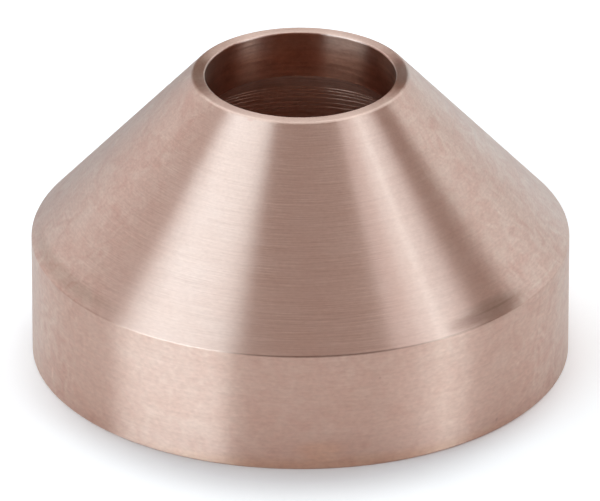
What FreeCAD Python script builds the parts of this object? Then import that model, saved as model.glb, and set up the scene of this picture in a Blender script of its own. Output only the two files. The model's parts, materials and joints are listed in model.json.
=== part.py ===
# Shield cap of a hand plasma torch, turned from one copper bar.
# Frame: +Z up along the turning axis, origin at the centre of the base face, millimetres.
# The torch screws in from below, and the arc leaves through the orifice at the top.

import FreeCAD, Part
import os
import Sketcher

# Driving dimensions: alias, value, what it sets.
sizes = [
    ("orifice_diameter", 9.2, "hole that the cutting tip looks out of"),
    ("orifice_length", 2.35, "straight land of that hole, below the front rim"),
    ("rim_width", 0.6, "flat ring round the orifice at the front"),
    ("cap_height", 14.6, "base face to the front rim"),
    ("band_height", 6.05, "base face to the edge where the cone starts"),
    ("band_wall", 1.5, "wall of the band round the seal counterbore"),
    ("seal_depth", 1.5, "plain counterbore that the torch body's seal slides into"),
    ("seal_step", 0.5, "wall of that counterbore beyond the thread's roots, on radius"),
    ("thread_diameter", 22.0, "across the roots of the torch thread, M22 x 1"),
    ("thread_pitch", 1.0, "one turn of the torch thread"),
    ("thread_length", 3.6, "threaded wall, with its lead chamfer"),
    ("relief_width", 1.1, "run-out groove between the thread and the seat"),
    ("relief_step", 0.15, "floor of that groove beyond the thread's roots, on radius"),
    ("relief_corner", 0.2, "radius in the two corners of that groove's floor"),
    ("seat_width", 1.0, "ring that the torch body stops on, to the groove's floor"),
    ("mouth_chamfer", 0.35, "lead-in at the mouth of the counterbore"),
    ("base_chamfer", 0.08, "broken edge round the outside of the base face"),
    ("seat_chamfer", 0.2, "broken edge where the seat meets the inner cone"),
    ("band_round", 0.1, "edge between the band and the cone"),
    ("rim_round", 0.25, "edge between the cone and the front rim"),
    ("orifice_round", 0.08, "front edge of the orifice"),
    ("land_round", 0.1, "inner end of the orifice, where the inner cone starts"),
]

doc = FreeCAD.newDocument("shield_cap")
sheet = doc.addObject("Spreadsheet::Sheet", "Sizes")
for row, (alias, value, note) in enumerate(sizes, start=1):
    sheet.set(f"A{row}", alias)
    sheet.set(f"B{row}", str(value))
    sheet.set(f"C{row}", note)
    sheet.setAlias(f"B{row}", alias)
doc.recompute()

# Radii from the axis. The thread sets the torch end, and the tip's orifice sets the front.
root_radius = "Sizes.thread_diameter / 2"
thread_depth = "Sizes.thread_pitch * cos(30 deg) * 5 / 8"
core_radius = f"{root_radius} - {thread_depth}"
relief_radius = f"{root_radius} + Sizes.relief_step"
seat_radius = f"{relief_radius} - Sizes.seat_width"
seal_radius = f"{root_radius} + Sizes.seal_step"
band_radius = f"{seal_radius} + Sizes.band_wall"
orifice_radius = "Sizes.orifice_diameter / 2"
rim_radius = f"{orifice_radius} + Sizes.rim_width"

# Heights above the base face.
base = "0"
seal_end = "Sizes.seal_depth"
thread_end = f"{seal_end} + Sizes.thread_length"
seat = f"{thread_end} + Sizes.relief_width"
band_top = "Sizes.band_height"
front = "Sizes.cap_height"
land_end = f"{front} - Sizes.orifice_length"


def number(expression):
    """The value that an expression in the sheet's sizes has now."""
    return float(sheet.evalExpression(expression))


def add_sketch(body, name):
    """An empty sketch on the body's XZ plane, with radius as its x and height as its y."""
    plane = next(f for f in body.Origin.OriginFeatures if f.Role == "XZ_Plane")
    sketch = body.newObject("Sketcher::SketchObject", name)
    sketch.AttachmentSupport = (plane, [""])
    sketch.MapMode = "FlatFace"
    return sketch


def place_corner(sketch, kind, line, expression):
    """Ties the start of a line to the sketch's origin along one direction."""
    if expression == "0":
        axis = {"DistanceX": -2, "DistanceY": -1}[kind]
        sketch.addConstraint(Sketcher.Constraint("PointOnObject", line, 1, axis))
        return
    size = Sketcher.Constraint(kind, -1, 1, line, 1, number(expression))
    index = sketch.addConstraint(size)
    sketch.setExpression(f"Constraints[{index}]", expression)


def round_corner(sketch, line, expression):
    """A tangent arc at the start of a line, which keeps the corner's own dimensions."""
    arc = sketch.GeometryCount
    size = number(expression)
    sketch.fillet(line, 1, size, True, True)
    index = sketch.addConstraint(Sketcher.Constraint("Radius", arc, size))
    sketch.setExpression(f"Constraints[{index}]", expression)


def draw_section(body, name, corners):
    """A closed section through corners: radius, height and, where it is rounded, the round.

    Neighbours that share an expression are held upright or level, so each size is bound once.
    """
    sketch = add_sketch(body, name)
    points = [FreeCAD.Vector(number(corner[0]), number(corner[1]), 0) for corner in corners]
    following = list(range(1, len(corners))) + [0]
    for line, after in enumerate(following):
        sketch.addGeometry(Part.LineSegment(points[line], points[after]))
    for line, after in enumerate(following):
        sketch.addConstraint(Sketcher.Constraint("Coincident", line, 2, after, 1))
        if corners[line][0] == corners[after][0]:
            sketch.addConstraint(Sketcher.Constraint("Vertical", line))
        else:
            place_corner(sketch, "DistanceX", line, corners[line][0])
        if corners[line][1] == corners[after][1]:
            sketch.addConstraint(Sketcher.Constraint("Horizontal", line))
        else:
            place_corner(sketch, "DistanceY", line, corners[line][1])
    for line, corner in enumerate(corners):
        if len(corner) > 2:
            round_corner(sketch, line, corner[2])
    return sketch


def turn(body, kind, name, corners):
    """A section turned once round the axis: kind is Revolution to add or Groove to cut."""
    sketch = draw_section(body, f"{name}_section", corners)
    feature = body.newObject(f"PartDesign::{kind}", name)
    feature.Profile = sketch
    feature.ReferenceAxis = (sketch, ["V_Axis"])
    feature.Angle = 360
    doc.recompute()
    return feature


def circles_at(feature, radius, height):
    """Names of the round edges that a feature has at a radius and a height."""
    near = 1e-4
    names = []
    for index, edge in enumerate(feature.Shape.Edges, start=1):
        curve = edge.Curve
        if not isinstance(curve, Part.Circle):
            continue
        at_radius = abs(curve.Radius - number(radius)) < near
        at_height = abs(curve.Center.z - number(height)) < near
        if at_radius and at_height:
            names.append(f"Edge{index}")
    return names


def break_edges(body, kind, name, size, places):
    """A Chamfer or Fillet of one size on the round edges at the given radii and heights."""
    last = body.Tip
    edges = [edge for place in places for edge in circles_at(last, *place)]
    if len(edges) != len(places):
        raise ValueError(f"{name} found {len(edges)} edges, and it breaks {len(places)}")
    feature = body.newObject(f"PartDesign::{kind}", name)
    feature.Base = (last, edges)
    feature.setExpression("Size" if kind == "Chamfer" else "Radius", size)
    doc.recompute()
    return feature


def make_shield_cap():
    """The cap as it is turned: outside, bore, thread run-out, seal counterbore, broken edges."""
    body = doc.addObject("PartDesign::Body", "shield_cap")
    body.Label = "shield_cap"
    turn(body, "Revolution", "outside", [
        ("0", base),
        (band_radius, base),
        (band_radius, band_top, "Sizes.band_round"),
        (rim_radius, front, "Sizes.rim_round"),
        ("0", front),
    ])
    turn(body, "Groove", "bore", [
        ("0", base),
        (core_radius, base),
        (core_radius, seat),
        (seat_radius, seat),
        (orifice_radius, land_end, "Sizes.land_round"),
        (orifice_radius, front),
        ("0", front),
    ])
    turn(body, "Groove", "thread_run_out", [
        ("0", thread_end),
        (relief_radius, thread_end),
        (relief_radius, seat),
        ("0", seat),
    ])
    turn(body, "Groove", "seal_counterbore", [
        ("0", base),
        (seal_radius, base),
        (seal_radius, seal_end),
        ("0", seal_end),
    ])
    break_edges(body, "Fillet", "run_out_corners", "Sizes.relief_corner", [
        (relief_radius, thread_end),
        (relief_radius, seat),
    ])
    break_edges(body, "Chamfer", "thread_lead", thread_depth, [(core_radius, seal_end)])
    break_edges(body, "Chamfer", "mouth", "Sizes.mouth_chamfer", [(seal_radius, base)])
    break_edges(body, "Chamfer", "base_edge", "Sizes.base_chamfer", [(band_radius, base)])
    break_edges(body, "Chamfer", "seat_edge", "Sizes.seat_chamfer", [(seat_radius, seat)])
    break_edges(body, "Fillet", "orifice_edge", "Sizes.orifice_round", [(orifice_radius, front)])
    return body


def check_document(bodies):
    """Stops the build if any object failed, or a sub-part isn't a sound solid."""
    doc.recompute()
    for item in doc.Objects:
        if "Invalid" in item.State or "Error" in item.State:
            raise RuntimeError(f"{item.Name} failed: {item.State}")
    for body in bodies:
        if body.Shape.isNull() or not body.Shape.isValid():
            raise RuntimeError(f"{body.Label} has no valid shape")


bodies = [make_shield_cap()]
check_document(bodies)
os.makedirs("parts", exist_ok=True)
for body in bodies:
    body.Shape.exportStep(f"parts/{body.Label}.step")
    print(body.Label, "volume", round(body.Shape.Volume, 3), "mm3")
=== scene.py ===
import json
import math

import bmesh
import bpy
from mathutils import Matrix, Vector


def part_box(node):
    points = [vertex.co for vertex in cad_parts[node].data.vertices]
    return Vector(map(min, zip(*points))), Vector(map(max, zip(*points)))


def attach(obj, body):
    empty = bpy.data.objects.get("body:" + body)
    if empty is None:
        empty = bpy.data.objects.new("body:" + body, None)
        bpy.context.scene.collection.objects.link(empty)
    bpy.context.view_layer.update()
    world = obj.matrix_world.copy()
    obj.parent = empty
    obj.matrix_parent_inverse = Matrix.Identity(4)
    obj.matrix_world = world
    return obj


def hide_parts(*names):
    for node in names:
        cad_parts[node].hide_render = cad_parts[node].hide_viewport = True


# Shield cap of a hand plasma torch: one turned copper piece, standing on its base face.
# Metres, +Z up, with the turning axis on Z.

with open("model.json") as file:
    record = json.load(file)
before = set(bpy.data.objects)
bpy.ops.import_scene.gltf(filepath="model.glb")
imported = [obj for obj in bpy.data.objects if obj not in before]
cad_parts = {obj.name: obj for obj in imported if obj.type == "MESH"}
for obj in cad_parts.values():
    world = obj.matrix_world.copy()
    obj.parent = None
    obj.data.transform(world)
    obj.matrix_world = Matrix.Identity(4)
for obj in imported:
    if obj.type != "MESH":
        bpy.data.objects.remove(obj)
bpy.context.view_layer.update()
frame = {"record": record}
mm = 0.001
mounts = {mount["name"]: mount for mount in frame["record"]["mounts"]}
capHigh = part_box("shield_cap")[1]

capSizes = {
    "flats": 360,                  # steps round the axis
    "bandHeight": 6.05 * mm,       # base face to the cone
    "rimWidth": 0.6 * mm,          # ring round the orifice, before its edges are rounded
    "orificeLength": 2.35 * mm,
    "seatHeight": 6.2 * mm,        # the torch body stops here
    "threadEnd": 5.1 * mm,
    "sealDepth": 1.5 * mm,
    "reliefRadius": 11.15 * mm,    # run-out groove between thread and seat
    "seatRadius": 10.15 * mm,      # where the seat meets the inner cone
    "mouthChamfer": 0.35 * mm,
    "baseChamfer": 0.08 * mm,
    "seatChamfer": 0.2 * mm,
    "reliefCorner": 0.2 * mm,
    "bandRound": 0.1 * mm,
    "rimRound": 0.25 * mm,
    "orificeRound": 0.08 * mm,
    "landRound": 0.1 * mm,
    "roundSteps": 6,
    # fine lips that the boring tool left in the inner cone
    "lipRadii": [radius * mm for radius in (5.55, 5.8, 6.1, 6.45, 6.9, 7.3)],
    "lipHeight": 0.012 * mm,
    "lipLean": 0.005 * mm,         # how far a lip's foot lies inside its top
    "softAngle": 25,               # degrees, faces that meet by less are shaded smooth
}
threadSizes = {
    "pitch": 1.0 * mm,
    "rootRadius": 11.0 * mm,
    "rootFlat": 0.125 * mm,        # an eighth of the pitch
    "flankAngle": 30,              # degrees from square to the axis
    "clear": 0.16 * mm,            # how far the cutter starts inside the crests
    "start": 0.75 * mm,            # height of the cutter's first turn, in the seal counterbore
    "turns": 5,
    "sweepWeld": 1e-6,             # points nearer than this are joined, in the swept cutter
    "cutWeld": 1e-7,               # and in the cap after the cut
}


def selectOnly(piece):
    bpy.ops.object.select_all(action="DESELECT")
    piece.select_set(True)
    bpy.context.view_layer.objects.active = piece


def slopeAngle(first, second):
    return math.atan2(second[1] - first[1], second[0] - first[0])


def roundOffset(section, index, radius):
    # how far from a corner its round starts, from the turn that the section makes there
    before, corner, after = section[index - 1], section[index], section[(index + 1) % len(section)]
    turn = slopeAngle(corner, after) - slopeAngle(before, corner)
    turn = abs((turn + math.pi) % (2 * math.pi) - math.pi)
    return radius * math.tan(turn / 2)


def bevelRing(piece, corner, offset, steps):
    # bevels the edges that go round the axis at a corner of the section
    mesh = bmesh.from_edit_mesh(piece.data)
    near = 2e-6
    bpy.ops.mesh.select_all(action="DESELECT")
    for edge in mesh.edges:
        edge.select = all(abs(math.hypot(vert.co.x, vert.co.y) - corner[0]) < near
                          and abs(vert.co.z - corner[1]) < near for vert in edge.verts)
    mesh.select_flush(True)
    bmesh.update_edit_mesh(piece.data)
    bpy.ops.mesh.bevel(offset=offset, offset_pct=0, segments=steps, profile=0.5, affect="EDGES")


def capSection():
    # corners of the section, radius and height: up the outside from the foot, then down the bore
    sizes = capSizes
    bandRadius, front = capHigh.x, capHigh.z
    orificeRadius = mounts["orifice"]["dims"]["r_mm"] * mm
    sealRadius = mounts["seal_counterbore"]["dims"]["r_mm"] * mm
    crestRadius = mounts["torch_thread"]["dims"]["r_mm"] * mm
    landEnd = front - sizes["orificeLength"]
    rimRadius = orificeRadius + sizes["rimWidth"]
    coneSlope = (sizes["seatHeight"] - landEnd) / (sizes["seatRadius"] - orificeRadius)
    threadDepth = threadSizes["rootRadius"] - crestRadius
    corners = {
        "foot": (bandRadius, 0),
        "bandTop": (bandRadius, sizes["bandHeight"]),
        "rimEdge": (rimRadius, front),
        "orificeEdge": (orificeRadius, front),
        "landEnd": (orificeRadius, landEnd),
    }
    for radius in sizes["lipRadii"]:
        height = landEnd + coneSlope * (radius - orificeRadius)
        foot = height - sizes["lipHeight"]
        corners[f"lipTop{radius}"] = (radius, height)
        corners[f"lipFoot{radius}"] = (radius - sizes["lipLean"], foot)
        corners[f"lipBack{radius}"] = (radius - sizes["lipHeight"] / coneSlope, foot)
    corners |= {
        "seatEdge": (sizes["seatRadius"], sizes["seatHeight"]),
        "reliefTop": (sizes["reliefRadius"], sizes["seatHeight"]),
        "reliefFoot": (sizes["reliefRadius"], sizes["threadEnd"]),
        "threadEnd": (crestRadius, sizes["threadEnd"]),
        "threadStart": (crestRadius, sizes["sealDepth"] + threadDepth),
        "threadLead": (threadSizes["rootRadius"], sizes["sealDepth"]),
        "sealEnd": (sealRadius, sizes["sealDepth"]),
        "mouth": (sealRadius, 0),
    }
    return corners


def turnCap():
    sizes = capSizes
    corners = capSection()
    names, section = list(corners), list(corners.values())
    bpy.ops.mesh.primitive_circle_add(vertices=sizes["flats"], radius=section[0][0], location=(0, 0, 0))
    cap = bpy.context.object
    cap.name = "shieldCap"
    bpy.ops.object.mode_set(mode="EDIT")
    bpy.ops.mesh.select_mode(type="EDGE")
    bpy.ops.mesh.select_all(action="SELECT")
    for (oldRadius, oldHeight), (radius, height) in zip(section, section[1:]):
        rise = (0, 0, height - oldHeight)
        grow = radius / oldRadius
        bpy.ops.mesh.extrude_region_move(TRANSFORM_OT_translate={"value": rise})
        bpy.ops.transform.resize(value=(grow, grow, 1), center_override=(0, 0, 0))
    bpy.ops.mesh.select_all(action="DESELECT")
    bpy.ops.mesh.select_non_manifold()
    bpy.ops.mesh.bridge_edge_loops()      # closes the base face, mouth to foot
    rounds = {
        "bandTop": sizes["bandRound"],
        "rimEdge": sizes["rimRound"],
        "orificeEdge": sizes["orificeRound"],
        "landEnd": sizes["landRound"],
        "reliefTop": sizes["reliefCorner"],
        "reliefFoot": sizes["reliefCorner"],
    }
    chamfers = {
        "foot": sizes["baseChamfer"],
        "mouth": sizes["mouthChamfer"],
        "seatEdge": sizes["seatChamfer"],
    }
    for name, radius in rounds.items():
        offset = roundOffset(section, names.index(name), radius)
        bevelRing(cap, corners[name], offset, sizes["roundSteps"])
    for name, size in chamfers.items():
        bevelRing(cap, corners[name], size, 1)
    bpy.ops.mesh.select_all(action="SELECT")
    bpy.ops.mesh.normals_make_consistent(inside=False)
    bpy.ops.object.mode_set(mode="OBJECT")
    print("turned the cap:", len(cap.data.vertices), "points")
    return cap


def threadCutter():
    # one turn of the V section, swept up the bore by a Screw modifier
    thread = threadSizes
    crestRadius = mounts["torch_thread"]["dims"]["r_mm"] * mm - thread["clear"]
    depth = thread["rootRadius"] - crestRadius
    halfRoot = thread["rootFlat"] / 2
    halfCrest = halfRoot + depth * math.tan(math.radians(thread["flankAngle"]))
    middle = (thread["rootRadius"] + crestRadius) / 2
    place = (middle, 0, thread["start"])
    bpy.ops.mesh.primitive_plane_add(size=depth, location=place, rotation=(math.pi / 2, 0, 0))
    cutter = bpy.context.object
    cutter.name = "threadCutter"
    bpy.ops.object.transform_apply(location=True, rotation=True, scale=True)
    bpy.ops.object.mode_set(mode="EDIT")
    mesh = bmesh.from_edit_mesh(cutter.data)
    for vert in mesh.verts:
        half = halfRoot if vert.co.x > middle else halfCrest
        vert.co.z = thread["start"] + math.copysign(half, vert.co.z - thread["start"])
    bmesh.update_edit_mesh(cutter.data)
    bpy.ops.mesh.select_all(action="SELECT")
    bpy.ops.mesh.delete(type="ONLY_FACE")
    bpy.ops.object.mode_set(mode="OBJECT")
    sweep = cutter.modifiers.new("sweep", "SCREW")
    sweep.axis = "Z"
    sweep.angle = 2 * math.pi
    sweep.screw_offset = thread["pitch"]
    sweep.iterations = thread["turns"]
    sweep.steps = capSizes["flats"]
    sweep.render_steps = capSizes["flats"]
    sweep.use_merge_vertices = True
    sweep.merge_threshold = thread["sweepWeld"]
    bpy.ops.object.modifier_apply(modifier=sweep.name)
    bpy.ops.object.mode_set(mode="EDIT")
    bpy.ops.mesh.select_mode(type="EDGE")
    bpy.ops.mesh.select_all(action="DESELECT")
    bpy.ops.mesh.select_non_manifold()
    bpy.ops.mesh.fill()
    bpy.ops.mesh.select_all(action="SELECT")
    bpy.ops.mesh.normals_make_consistent(inside=False)
    bpy.ops.object.mode_set(mode="OBJECT")
    return cutter


def cutThread(cap):
    cutter = threadCutter()
    selectOnly(cap)
    cut = cap.modifiers.new("thread", "BOOLEAN")
    cut.operation = "DIFFERENCE"
    cut.solver = "EXACT"
    cut.object = cutter
    bpy.ops.object.modifier_apply(modifier=cut.name)
    bpy.data.objects.remove(cutter)
    bpy.ops.object.mode_set(mode="EDIT")
    bpy.ops.mesh.select_all(action="SELECT")
    bpy.ops.mesh.remove_doubles(threshold=threadSizes["cutWeld"])
    bpy.ops.object.mode_set(mode="OBJECT")
    print("cut the thread:", len(cap.data.vertices), "points")


def smoothCap(cap):
    selectOnly(cap)
    bpy.ops.object.shade_smooth_by_angle(angle=math.radians(capSizes["softAngle"]))
    weigh = cap.modifiers.new("weigh", "WEIGHTED_NORMAL")
    weigh.keep_sharp = True
    bpy.ops.object.modifier_apply(modifier=weigh.name)


def wire(tree, kind, inputs, output=0, **settings):
    # a node, with a number or another node's output on each input that is named
    node = tree.nodes.new("ShaderNode" + kind)
    for name, value in settings.items():
        setattr(node, name, value)
    for socket, value in inputs.items():
        if isinstance(value, bpy.types.NodeSocket):
            tree.links.new(value, node.inputs[socket])
        else:
            node.inputs[socket].default_value = value
    return node.outputs[output]


def sums(tree, operation, first, second=0.0, third=0.0):
    return wire(tree, "Math", {0: first, 1: second, 2: third}, operation=operation)


def vectorSums(tree, operation, first, second=(0, 0, 0), third=(0, 0, 0)):
    return wire(tree, "VectorMath", {0: first, 1: second, 2: third}, operation=operation)


def lengthOf(tree, vector):
    return wire(tree, "VectorMath", {0: vector}, output="Value", operation="LENGTH")


def placeInMm(tree):
    place = wire(tree, "TexCoord", {}, output="Object")
    return vectorSums(tree, "MULTIPLY", place, (1 / mm, 1 / mm, 1 / mm))


def turningPlace(tree, place):
    # the place as a direction round the axis with a length along the section, and its height
    flat = vectorSums(tree, "MULTIPLY", place, (1, 1, 0))
    height = wire(tree, "SeparateXYZ", {0: place}, output="Z")
    along = wire(tree, "CombineXYZ", {"Z": sums(tree, "SUBTRACT", height, lengthOf(tree, flat))})
    rings = vectorSums(tree, "ADD", vectorSums(tree, "NORMALIZE", flat), along)
    return rings, height


def noiseAround(tree, place, size, detail, distortion=0.0):
    # noise from about -0.5 to 0.5
    inputs = {"Vector": place, "Scale": size, "Detail": detail, "Distortion": distortion}
    return sums(tree, "SUBTRACT", wire(tree, "TexNoise", inputs), 0.5)


def streaks(tree, rings, look):
    # noise drawn out round the axis: patches in a radian, and patches in a millimetre of the section
    place = vectorSums(tree, "MULTIPLY", rings, (look["round"], look["round"], look["along"]))
    return noiseAround(tree, place, 1.0, look["detail"])


def within(tree, value, start, end):
    # 0 at the start, 1 at the end, with soft ends
    limits = {"Value": value, "From Min": start, "From Max": end}
    return wire(tree, "MapRange", limits, interpolation_type="SMOOTHSTEP")


def varied(tree, colour, noise, change):
    # the colour multiplied by 1 plus the noise's share of the change
    factor = vectorSums(tree, "MULTIPLY_ADD", noise, change, (1, 1, 1))
    return vectorSums(tree, "MULTIPLY", colour, factor)


def tinted(tree, colour, share, tint):
    # the colour itself where the share is 0, and multiplied by the tint where it is 1
    return varied(tree, colour, share, [value - 1 for value in tint])


outsideLook = {
    "colour": (0.745, 0.52, 0.44),
    "bandTint": (1.01, 0.965, 0.935),
    "toneTint": (0.85, 1.1, 1.15),    # pale lines are greyer, dark ones browner
    "roughness": 0.333,
    "anisotropy": 1.0,
    "grooves": {"round": 5, "along": 8, "detail": 2, "height": 0.0075},
    "waves": {"round": 1.0, "along": 1.1, "detail": 1, "height": 0.006},
    "shades": {"round": 3.0, "along": 5.5, "detail": 2, "amount": 0.17},
    "grain": {"round": 45, "along": 7.0, "detail": 2, "amount": 0.34, "front": 0.6},
    "mottle": {"size": 1.0, "distortion": 1.5, "tint": (0.22, 0.52, 0.54), "front": 0.12},
    "clouds": {"size": 0.5, "tint": (0.02, 0.07, 0.1)},
    "finish": 0.12,                   # how much the roughness follows the shades
}
landLook = {
    # painted shade and painted reflection: the orifice wall's copper is darker and redder than the
    # outside's, standing in for the shade in the orifice and the copper's own reflections
    "colour": (0.5, 0.285, 0.215),
    # painted shade: the orifice wall darker and redder further in
    "deepShadeTint": (1.02, 0.82, 0.72),
    "deep": (14.3, 13.2),             # heights in millimetres over which the painted shade deep in the orifice comes in
    "toneTint": (0.9, 1.0, 1.05),
    "roughness": 0.32,
    "anisotropy": 0.9,
    "grooves": {"round": 2, "along": 8, "detail": 2, "height": 0.012},
    "waves": {"round": 1.5, "along": 1.3, "detail": 1, "height": 0.008},
    "shades": {"round": 2.0, "along": 5.0, "detail": 2, "amount": 0.45},
    "grain": {"round": 24, "along": 8.0, "detail": 2, "amount": 0.3, "front": 1.0},
    "mottle": {"size": 1.5, "distortion": 1.0, "tint": (0.2, 0.3, 0.3), "front": 1.0},
    "clouds": {"size": 0.5, "tint": (0.03, 0.1, 0.12)},
    "finish": 0.15,
}
innerLook = {
    # painted reflection: redder than the outside's copper, standing in for the copper's own reflections
    # inside the cap
    "colour": (0.82, 0.5, 0.39),
    "toneTint": (0.9, 1.0, 1.05),
    "roughness": 0.32,
    "anisotropy": 0.9,
    "grooves": {"round": 2.5, "along": 5.0, "detail": 2, "height": 0.04},
    "waves": {"round": 1.5, "along": 1.3, "detail": 1, "height": 0.01},
    "shades": {"round": 2.0, "along": 4.5, "detail": 2, "amount": 0.6},
    "grain": {"round": 12, "along": 6.0, "detail": 2, "amount": 0.5, "front": 1.0},
    "mottle": {"size": 1.5, "distortion": 1.0, "tint": (0.2, 0.3, 0.3), "front": 1.0},
    "clouds": {"size": 0.5, "tint": (0.03, 0.1, 0.12)},
    "finish": 0.15,
}
copper = {
    "edgeTint": (0.85, 0.95, 0.97, 1),
    "grainTurn": 0.25,                # a quarter turn lays the highlights across the grooves
    "patchDetail": 2.0,
}
# handling shows most at the sides, less on the band and least on the front of the cone
handling = {
    "sides": (0.68, 0.88),            # sine of the angle from the front
    "bandEdge": 0.05,                 # millimetres either side of the band's top
    "bandGrain": 0.75,
    "bandMottle": 0.45,
}
# stains and specks, and painted shade and highlights on the band's edge and the rim's sides: degrees from
# the front, height less radius in millimetres,
# and half sizes in radians and millimetres
outsideMarks = {
    "smudge": {"angle": 46.5, "along": -6.25, "size": (0.25, 1.1), "tint": (0.76, 0.75, 0.735)},
    "smudgeTop": {"angle": 47.5, "along": -6.2, "size": (0.16, 0.12), "tint": (0.85, 0.86, 0.83)},
    "smudgeFoot": {"angle": 38, "along": -6.45, "size": (0.12, 0.6), "tint": (0.83, 0.78, 0.77)},
    # a darker patch on the cone just above the band, at the left
    "leftDarkPatch": {"angle": -66, "along": -6.15, "size": (0.5, 0.85), "tint": (0.86, 0.86, 0.84)},
    "footBlush": {"angle": 8, "along": -12.95, "size": (1.0, 0.8), "tint": (1.02, 0.98, 0.91)},
    # the next four marks are painted shade and painted highlights along the band's top edge: darker and
    # paler lines standing in for the rounded edge's reflections
    "rightEdgeShade": {"angle": 37, "along": -6.93, "size": (0.24, 0.09), "tint": (0.84, 0.82, 0.81)},
    "rightEdgeHighlight": {"angle": 36.5, "along": -7.07, "size": (0.13, 0.08), "tint": (1.05, 1.06, 1.07)},
    "sideEdgeHighlight": {"angle": 66, "along": -6.45, "size": (0.26, 0.12), "tint": (1.02, 1.07, 1.07)},
    "frontEdgeShade": {"angle": 7, "along": -6.94, "size": (0.55, 0.1), "tint": (0.66, 0.64, 0.64)},
    "warmFoot": {"angle": 4, "along": -12.0, "size": (0.12, 0.7), "tint": (1.03, 0.97, 0.9)},
    "paleSpeck": {"angle": 53.2, "along": -10.02, "size": (0.014, 0.14), "tint": (1.12, 1.18, 1.2)},
    "palePatch": {"angle": 43.3, "along": -12.61, "size": (0.03, 0.2), "tint": (1.03, 1.07, 1.07)},
    "darkSpeck": {"angle": 46.3, "along": -12.4, "size": (0.01, 0.12), "tint": (0.8, 0.75, 0.75)},
    "smallSpeck": {"angle": 16.9, "along": -8.35, "size": (0.007, 0.09), "tint": (0.85, 0.8, 0.8)},
    "scratch": {"angle": -66.7, "along": -11.8, "size": (0.012, 0.5), "tint": (1.12, 1.16, 1.18)},
    # painted shade: both sides of the rim darkened in colour, standing in for darker reflections there
    "rightRimShade": {"angle": 91, "along": 9.7, "size": (0.4, 0.6), "tint": (0.74, 0.8, 0.83)},
    "leftRimShade": {"angle": -92, "along": 9.7, "size": (0.55, 0.6), "tint": (0.86, 0.92, 0.91)},
    "nick": {"angle": -27, "along": 9.2, "size": (0.045, 0.12), "tint": (0.95, 0.86, 0.85)},
}


def spot(tree, rings, mark):
    # 1 on a mark and 0 away from it; the angle counts from the front, to the right
    outer, inner = 1.0, 0.3      # the mark comes in between these shares of its size
    angle = math.radians(mark["angle"])
    halfAngle, halfLength = mark["size"]
    centre = (math.sin(angle), -math.cos(angle), mark["along"])
    away = vectorSums(tree, "SUBTRACT", rings, centre)
    away = vectorSums(tree, "DIVIDE", away, (halfAngle, halfAngle, halfLength))
    return within(tree, lengthOf(tree, away), outer, inner)


def handledShare(tree, sideways, low, bandShare, frontShare):
    # 1 at the sides, the front's own share on the front of the cone, and in between on the band
    share = sums(tree, "MAXIMUM", sideways, sums(tree, "MULTIPLY", low, bandShare))
    return sums(tree, "MULTIPLY_ADD", share, 1 - frontShare, frontShare)


def copperColour(tree, look, shades, place, rings, height):
    # the metal's colour: lines and grain of the turning, tints by height (deep in the orifice, painted
    # shade), mottle and clouds
    grain, mottle, clouds = look["grain"], look["mottle"], look["clouds"]
    bandTop = capSizes["bandHeight"] / mm
    across = sums(tree, "ABSOLUTE", wire(tree, "SeparateXYZ", {0: rings}, output="X"))
    sideways = within(tree, across, *handling["sides"])
    low = within(tree, height, bandTop + handling["bandEdge"], bandTop - handling["bandEdge"])

    worn = handledShare(tree, sideways, low, handling["bandGrain"], grain["front"])
    tone = sums(tree, "MULTIPLY", streaks(tree, rings, grain), worn)
    tone = sums(tree, "MULTIPLY", tone, grain["amount"])
    tone = sums(tree, "MULTIPLY_ADD", shades, look["shades"]["amount"], tone)
    colour = varied(tree, look["colour"], tone, look["toneTint"])
    # painted shade: darker and redder deeper into the orifice
    if "deepShadeTint" in look:
        colour = tinted(tree, colour, within(tree, height, *look["deep"]), look["deepShadeTint"])
    if "bandTint" in look:
        colour = tinted(tree, colour, low, look["bandTint"])

    stained = handledShare(tree, sideways, low, handling["bandMottle"], mottle["front"])
    patches = noiseAround(tree, place, mottle["size"], copper["patchDetail"], mottle["distortion"])
    colour = varied(tree, colour, sums(tree, "MULTIPLY", patches, stained), mottle["tint"])
    patches = noiseAround(tree, place, clouds["size"], copper["patchDetail"])
    return varied(tree, colour, patches, clouds["tint"])


def copperFinish(name, look, marks):
    material = bpy.data.materials.new(name)
    material.use_nodes = True
    tree = material.node_tree
    shader = tree.nodes["Principled BSDF"]
    place = placeInMm(tree)
    rings, height = turningPlace(tree, place)
    shades = streaks(tree, rings, look["shades"])
    colour = copperColour(tree, look, shades, place, rings, height)
    for mark in marks.values():
        colour = tinted(tree, colour, spot(tree, rings, mark), mark["tint"])
    roughness = sums(tree, "MULTIPLY_ADD", shades, look["finish"], look["roughness"])
    relief = sums(tree, "MULTIPLY", streaks(tree, rings, look["grooves"]), look["grooves"]["height"])
    waves = streaks(tree, rings, look["waves"])
    relief = sums(tree, "MULTIPLY_ADD", waves, look["waves"]["height"], relief)
    bump = wire(tree, "Bump", {"Height": relief, "Strength": 1.0, "Distance": mm})
    tangent = wire(tree, "Tangent", {}, direction_type="RADIAL", axis="Z")
    tree.links.new(colour, shader.inputs["Base Color"])
    tree.links.new(roughness, shader.inputs["Roughness"])
    tree.links.new(bump, shader.inputs["Normal"])
    tree.links.new(tangent, shader.inputs["Tangent"])
    shader.inputs["Metallic"].default_value = 1.0
    shader.inputs["Specular Tint"].default_value = copper["edgeTint"]
    shader.inputs["Anisotropic"].default_value = look["anisotropy"]
    shader.inputs["Anisotropic Rotation"].default_value = copper["grainTurn"]
    return material


def sectionStations():
    # length along the section up to each of its corners, where the thread counts by height alone
    corners = capSection()
    names, section = list(corners), list(corners.values())
    stations = [0.0]
    for name, old, new in zip(names[1:] + names[:1], section, section[1:] + section[:1]):
        byHeight = name in ("threadStart", "threadLead")
        stations.append(stations[-1] + (old[1] - new[1] if byHeight else math.dist(old, new)))
    return names, section, stations


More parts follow.
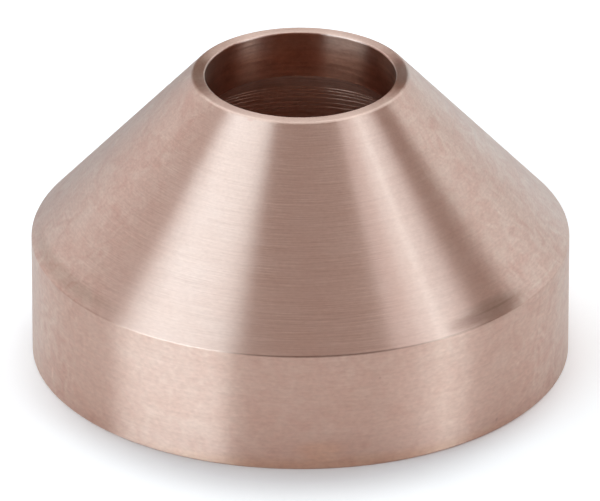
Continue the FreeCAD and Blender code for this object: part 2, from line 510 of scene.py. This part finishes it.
def nearestStation(point, section, stations, stretches):
    # how far along the section its place nearest to a point is, and on which stretch
    best = None
    tie = 1e-9
    for index in stretches:
        start, end = section[index], section[(index + 1) % len(section)]
        run = (end[0] - start[0], end[1] - start[1])
        reach = (point[0] - start[0]) * run[0] + (point[1] - start[1]) * run[1]
        share = min(max(reach / (run[0] ** 2 + run[1] ** 2), 0.0), 1.0)
        gap = math.dist(point, (start[0] + share * run[0], start[1] + share * run[1]))
        if best is None or gap < best[0] - tie:
            station = stations[index] + share * (stations[index + 1] - stations[index])
            best = (gap, station, index)
    return best[1], best[2]


def mapStrip(cap):
    # UV map for baked textures, one strip: round the axis across it and along the section up it.
    # The same walk along the section gives each face the finish of its part.
    sizes = capSizes
    names, section, stations = sectionStations()
    stationOf = dict(zip(names, stations))
    margin = 0.002
    while cap.data.uv_layers:
        cap.data.uv_layers.remove(cap.data.uv_layers[0])
    layer = cap.data.uv_layers.new(name="OFBake")
    stretches = range(len(section))
    for face in cap.data.polygons:
        x, y, height = face.center
        radius = math.hypot(x, y)
        turn = math.atan2(y, x) % (2 * math.pi)
        inThread = sizes["sealDepth"] < height < sizes["threadEnd"] and radius < threadSizes["rootRadius"]
        station, stretch = nearestStation((radius, height), section, stations, stretches)
        if stationOf["orificeEdge"] + sizes["orificeRound"] < station < stationOf["landEnd"]:
            face.material_index = 1
        elif stationOf["landEnd"] <= station < stationOf["mouth"]:
            face.material_index = 2
        near = stretches[max(stretch - 1, 0):stretch + 2]
        for loop in face.loop_indices:
            corner = cap.data.vertices[cap.data.loops[loop].vertex_index].co
            angle = math.atan2(corner.y, corner.x)
            angle += 2 * math.pi * round((turn - angle) / (2 * math.pi))
            if inThread:
                along = stationOf["threadEnd"] + sizes["threadEnd"] - corner.z
            else:
                point = (math.hypot(corner.x, corner.y), corner.z)
                along = nearestStation(point, section, stations, near)[0]
            layer.data[loop].uv = (margin + (1 - 2 * margin) * angle / (2 * math.pi),
                                   margin + (1 - 2 * margin) * along / stations[-1])
    print("mapped the strip:", len(cap.data.polygons), "faces")


def paintCap(cap):
    cap.data.materials.append(copperFinish("turnedCopper", outsideLook, outsideMarks))
    cap.data.materials.append(copperFinish("orificeCopper", landLook, {}))
    cap.data.materials.append(copperFinish("boredCopper", innerLook, {}))
    mapStrip(cap)


cap = turnCap()
cutThread(cap)
smoothCap(cap)
paintCap(cap)
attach(cap, "root")
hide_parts("shield_cap")

# Floor
floorLook = {
    "size": 6,
    "colour": (0.922, 0.917, 0.926),
    "clear": (12.6, 17),        # millimetres from the axis: where the white starts, and where it is whole; nearer the cap it is held back, which paints shadow round the foot
    "stretch": (1.17, 0.97, 1),  # the white, and so the end of the painted shadow, comes nearer at the sides, and nearest at the right
    "shift": (0.25, 0, 0),
    "white": 0.3,
    "whiteInMetal": 0.05,
}


def paperFinish(look):
    # matt paper that turns to plain white away from the cap, for the eye and a little in the metal; near
    # the cap the white is held back, a painted shadow round the foot that the metal also reflects
    paper = bpy.data.materials.new("whitePaper")
    paper.use_nodes = True
    tree = paper.node_tree
    surface = tree.nodes["Principled BSDF"]
    surface.inputs["Base Color"].default_value = (*look["colour"], 1)
    surface.inputs["Roughness"].default_value = 1.0
    surface.inputs["Specular IOR Level"].default_value = 0.0
    surface.inputs["Emission Color"].default_value = (1, 1, 1, 1)
    spread = vectorSums(tree, "MULTIPLY_ADD", placeInMm(tree), look["stretch"], look["shift"])
    # painted shadow: near the cap the white is held back, so the paper there is darker round the foot
    clear = within(tree, lengthOf(tree, spread), *look["clear"])
    path = tree.nodes.new("ShaderNodeLightPath").outputs
    seen = sums(tree, "MAXIMUM", path["Is Camera Ray"], path["Is Transmission Ray"])
    seen = sums(tree, "MULTIPLY", seen, look["white"])
    seen = sums(tree, "MULTIPLY_ADD", path["Is Glossy Ray"], look["whiteInMetal"], seen)
    tree.links.new(sums(tree, "MULTIPLY", seen, clear), surface.inputs["Emission Strength"])
    return paper


bpy.ops.mesh.primitive_plane_add(size=floorLook["size"], location=(0, 0, 0))
floor = bpy.context.object
floor.name = "floor"
floor.data.materials.append(paperFinish(floorLook))
print("laid the floor")

# Lamps: azimuth 0 is the camera's side and 90 is to its right, in degrees;
# width and height are shares of the distance
lamps = {
    "left": {"azimuth": -57.2, "elevation": 3.7, "roll": -10.5, "distance": 1.2,
             "width": 0.936, "height": 1.642, "radiance": (1.84, 2.54, 2.87)},
    "leftLow": {"azimuth": -52.9, "elevation": 8, "roll": -3, "distance": 1.16,
                "width": 0.83, "height": 0.35, "radiance": (1.02, 1.42, 1.6)},
    "right": {"azimuth": 61.7, "elevation": 27.7, "roll": -24, "distance": 1.2,
              "width": 0.652, "height": 0.955, "radiance": (0.58, 0.67, 0.74)},
    "rightCore": {"azimuth": 64.8, "elevation": 21.1, "roll": -17.9, "distance": 1.15,
                  "width": 0.4, "height": 0.709, "radiance": (0.43, 0.635, 0.71)},
    "rightLow": {"azimuth": 60.3, "elevation": 6, "roll": -4, "distance": 1.18,
                 "width": 0.39, "height": 0.4, "radiance": (0.64, 0.95, 1.06)},
    "streak": {"azimuth": 61.4, "elevation": 17, "roll": -9.2, "distance": 1.1,
               "width": 0.025, "height": 0.36, "radiance": (5.4, 8.0, 8.8)},
    "overhead": {"azimuth": 173.7, "elevation": 68.5, "roll": 8.9, "distance": 1.2,
                 "width": 1.276, "height": 1.257, "radiance": (1.35, 1.65, 1.75)},
    "rightBack": {"azimuth": 142.2, "elevation": 19.7, "roll": -25, "distance": 1.2,
                  "width": 1.238, "height": 0.424, "radiance": (0.98, 1.21, 1.29)},
    "leftBack": {"azimuth": -134.8, "elevation": 20.5, "roll": -32.7, "distance": 1.2,
                 "width": 0.668, "height": 1.819, "radiance": (0.69, 0.8, 0.85)},
}
roomColour = (0.165, 0.043, 0.0, 1)


def hangLamp(name, lamp):
    # a soft box that faces the cap; roll turns it about the line to the cap
    azimuth = math.radians(lamp["azimuth"])
    lift = math.radians(lamp["elevation"])
    roll = math.radians(lamp["roll"])
    side = Vector((math.cos(azimuth), math.sin(azimuth), 0))
    towards = Vector((math.cos(lift) * side.y, -math.cos(lift) * side.x, math.sin(lift)))
    up = towards.cross(side)
    right = side * math.cos(roll) + up * math.sin(roll)
    top = up * math.cos(roll) - side * math.sin(roll)
    turn = Matrix((right, top, right.cross(top))).transposed().to_4x4()
    bpy.ops.object.light_add(type="AREA")
    box = bpy.context.object
    box.name = name
    box.matrix_world = Matrix.Translation(towards * lamp["distance"]) @ turn
    box.visible_camera = False
    light = box.data
    light.shape = "RECTANGLE"
    light.size = lamp["width"] * lamp["distance"]
    light.size_y = lamp["height"] * lamp["distance"]
    peak = max(lamp["radiance"])
    light.color = [value / peak for value in lamp["radiance"]]
    light.energy = peak * math.pi * light.size * light.size_y


for name, lamp in lamps.items():
    hangLamp(name, lamp)
world = bpy.data.worlds.new("room")
world.use_nodes = True
world.node_tree.nodes["Background"].inputs["Color"].default_value = roomColour
bpy.context.scene.world = world
print("hung the lamps:", len(lamps))

# Camera
cameraSettings = {
    "elevation": 26.94,
    "distance": 0.6214,
    "target": (-0.00002, 0, 0.00511),
    "lens": 770.9,
    "sensor": 36,
    "clipStart": 0.01,
}
elevation = math.radians(cameraSettings["elevation"])
bpy.ops.object.camera_add()
camera = bpy.context.object
camera.data.sensor_width = cameraSettings["sensor"]
camera.data.lens = cameraSettings["lens"]
camera.data.clip_start = cameraSettings["clipStart"]
back = Vector((0, -math.cos(elevation), math.sin(elevation)))
camera.location = Vector(cameraSettings["target"]) + back * cameraSettings["distance"]
camera.rotation_euler = (math.pi / 2 - elevation, 0, 0)
bpy.context.scene.camera = camera
bpy.context.scene.view_settings.view_transform = "Standard"
